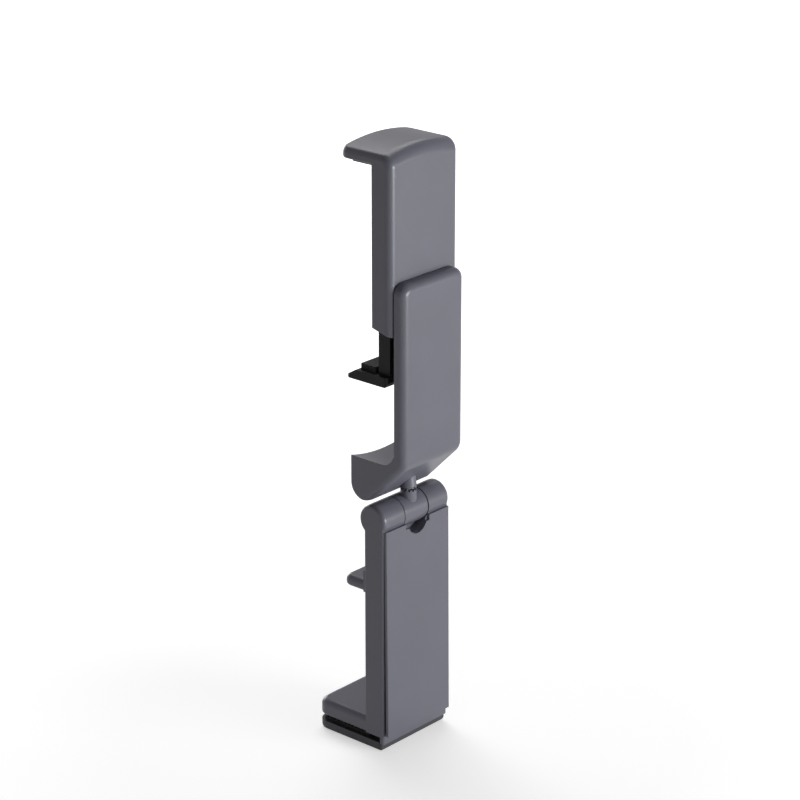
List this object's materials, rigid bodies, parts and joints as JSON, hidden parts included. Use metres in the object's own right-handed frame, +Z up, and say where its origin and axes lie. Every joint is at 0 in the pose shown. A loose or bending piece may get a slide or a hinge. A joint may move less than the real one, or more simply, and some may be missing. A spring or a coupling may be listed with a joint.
{
  "type": "phone holder",
  "caption": "Folding phone holder: sliding spring clamp on a J-shaped arm with a toothed swivel neck, hinged to a base that clamps a table edge or stands on its foot.",
  "frame": {"origin": "on the standing surface, below the axis of the fold hinge, on the plane of symmetry", "axes": "+Z up, +X across the width, -Y towards the screen side of the phone; the foot reaches towards -Y"},
  "size_m": [0.0348, 0.0404, 0.2221],
  "materials": {
    "satin_plastic": "satin moulded plastic, dark grey",
    "dark_plastic": "fine matt moulded plastic, near black",
    "soft_rubber": "matt soft rubber",
    "bright_steel": "plated steel",
    "spring_steel": "drawn spring wire"
  },
  "bodies": {
    "base": {"base_shell": "satin_plastic", "back_cover": "satin_plastic", "foot_pad": "soft_rubber", "hinge_pin": "bright_steel", "hinge_plug": "satin_plastic", "friction_washer_left": "bright_steel", "friction_washer_right": "bright_steel", "tray_spring_left": "spring_steel", "tray_spring_right": "spring_steel"},
    "table_jaw": {"tray_slide": "dark_plastic", "ribbed_pad": "soft_rubber", "thumb_tab": "satin_plastic", "tab_screw": "bright_steel"},
    "knuckle": {"centre_knuckle": "satin_plastic", "swivel_screw": "bright_steel"},
    "carrier": {"arm": "satin_plastic", "swivel_collar": "satin_plastic", "swivel_spring": "spring_steel", "swivel_washer": "bright_steel", "pivot_washer": "bright_steel", "pivot_screw": "bright_steel", "friction_disc": "soft_rubber"},
    "phone_clamp": {"sleeve": "satin_plastic", "hook_pad": "soft_rubber", "front_plate": "dark_plastic", "front_plate_screws": "bright_steel", "phone_spring_left": "spring_steel", "phone_spring_right": "spring_steel"},
    "phone_jaw": {"phone_slide": "dark_plastic", "jaw_pad": "soft_rubber"}
  },
  "joints": [
    {"name": "table_jaw_slide", "type": "slide", "parent": "base", "child": "table_jaw", "axis": [0, 0, -1], "range_m": [0, 0.035], "stiffness_N_per_m": 150, "springref_m": -0.02, "deforming": ["tray_spring_left", "tray_spring_right"]},
    {"name": "fold_hinge", "type": "hinge", "parent": "base", "child": "knuckle", "pos_m": [0, 0, 0.088], "axis": [1, 0, 0], "range_deg": [-88, 95]},
    {"name": "neck_swivel", "type": "hinge", "parent": "knuckle", "child": "carrier", "pos_m": [0, 0.0019, 0.0954], "axis": [0, 0, 1], "continuous": true},
    {"name": "clamp_turn", "type": "hinge", "parent": "carrier", "child": "phone_clamp", "pos_m": [0, 0.009, 0.1662], "axis": [0, 1, 0], "continuous": true},
    {"name": "phone_jaw_slide", "type": "slide", "parent": "phone_clamp", "child": "phone_jaw", "axis": [0, 0, -1], "range_m": [-0.014, 0.02], "deforming": ["phone_spring_left", "phone_spring_right"]}
  ]
}
